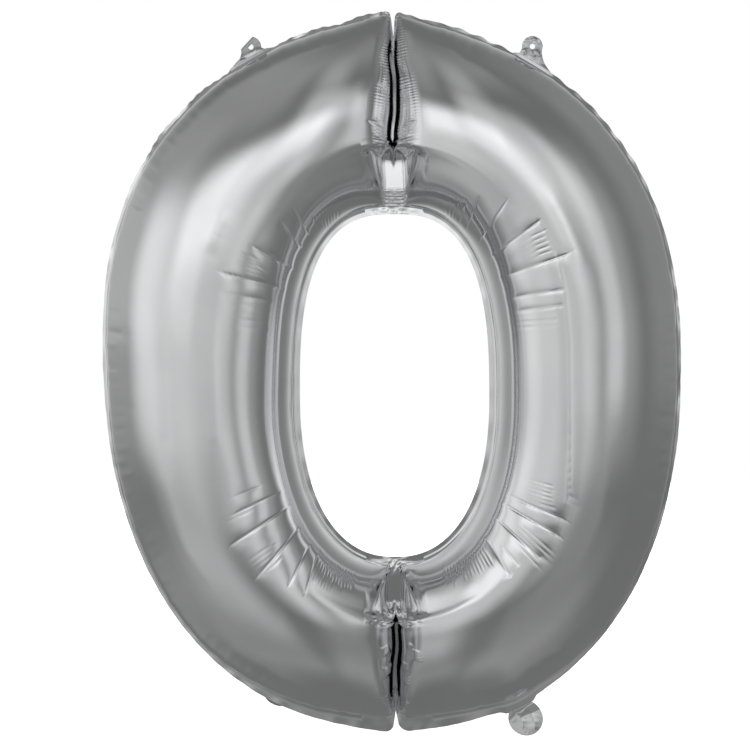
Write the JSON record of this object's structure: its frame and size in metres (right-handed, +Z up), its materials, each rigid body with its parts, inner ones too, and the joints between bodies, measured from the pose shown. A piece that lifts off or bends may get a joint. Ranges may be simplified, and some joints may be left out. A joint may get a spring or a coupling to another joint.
{
  "type": "foil number balloon",
  "caption": "Inflated silver foil balloon shaped as a nought, with slit seams, punched hanging tabs and a round inflation tail.",
  "frame": {"origin": "centre of the bounding box, in the plane of the seam", "axes": "+Z up, -Y towards the viewer of the front panel, +X to the viewer's right; the seam lies in the plane Y = 0"},
  "size_m": [0.6902, 0.2036, 0.8627],
  "materials": {
    "foil": "mirror-bright metallised film",
    "tab_foil": "bright metallised film, sealed flat",
    "tail_foil": "bright crinkled metallised film",
    "valve_film": "clear thin polyethylene film"
  },
  "bodies": {
    "envelope": {"front_panel": "foil", "back_panel": "foil", "valve_front_film": "valve_film", "valve_back_film": "valve_film"},
    "left_tab": {"top_left_tab": "tab_foil"},
    "right_tab": {"top_right_tab": "tab_foil"},
    "foot_tab": {"bottom_left_tab": "tab_foil"},
    "tail": {"tail_front_leaf": "tail_foil", "tail_back_leaf": "tail_foil"}
  },
  "joints": [
    {"name": "top_left_tab_bend", "type": "hinge", "parent": "envelope", "child": "left_tab", "pos_m": [-0.17118, 0, 0.37565], "axis": [0.8696, 0, 0.4938], "range_deg": [-90, 90], "stiffness_Nm_per_rad": 0.0005},
    {"name": "top_right_tab_bend", "type": "hinge", "parent": "envelope", "child": "right_tab", "pos_m": [0.17028, 0, 0.3697], "axis": [0.8536, 0, -0.5209], "range_deg": [-90, 90], "stiffness_Nm_per_rad": 0.0005},
    {"name": "bottom_left_tab_bend", "type": "hinge", "parent": "envelope", "child": "foot_tab", "pos_m": [-0.13692, 0.0012, -0.38621], "axis": [0.8956, 0, -0.4448], "range_deg": [-55, 30], "stiffness_Nm_per_rad": 0.0005},
    {"name": "tail_bend", "type": "hinge", "parent": "envelope", "child": "tail", "pos_m": [0.15314, 0, -0.39963], "axis": [0.8973, 0, 0.4414], "range_deg": [-90, 90], "stiffness_Nm_per_rad": 0.0005}
  ]
}
